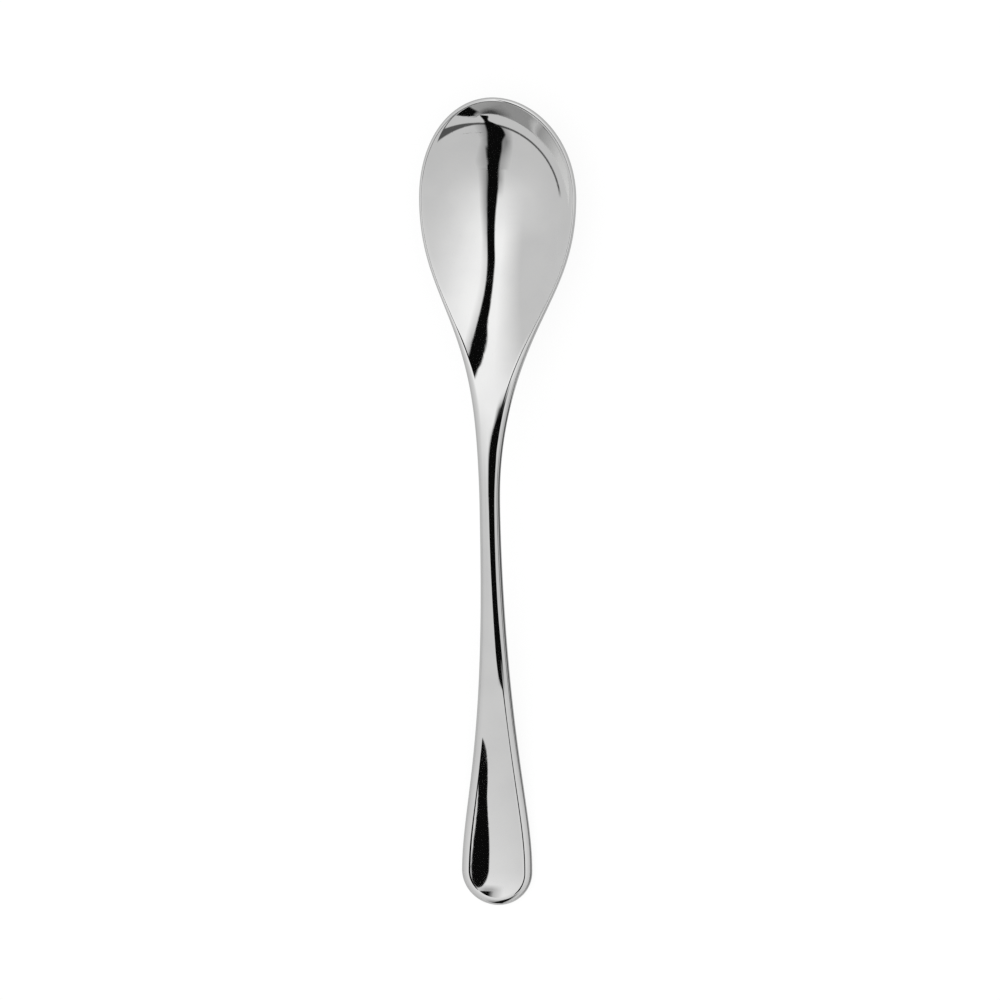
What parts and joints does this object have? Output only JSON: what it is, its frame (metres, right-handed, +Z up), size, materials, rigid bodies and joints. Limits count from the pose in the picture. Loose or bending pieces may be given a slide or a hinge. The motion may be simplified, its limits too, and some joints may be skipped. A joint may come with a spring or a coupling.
{
  "type": "teaspoon",
  "caption": "One-piece polished steel teaspoon with an egg-shaped bowl, a slim arched neck and a flared, dished handle end",
  "frame": {"origin": "bottom centre of the bounding box, on the surface that the spoon lies on", "axes": "+Y runs along the spoon to the bowl's tip, +X is to the right seen from above with the tip away, +Z is up out of the hollow"},
  "size_m": [0.0268, 0.14, 0.0117],
  "materials": {
    "polished_steel": "polished"
  },
  "bodies": {
    "root": {"spoon": "polished_steel"}
  },
  "joints": []
}
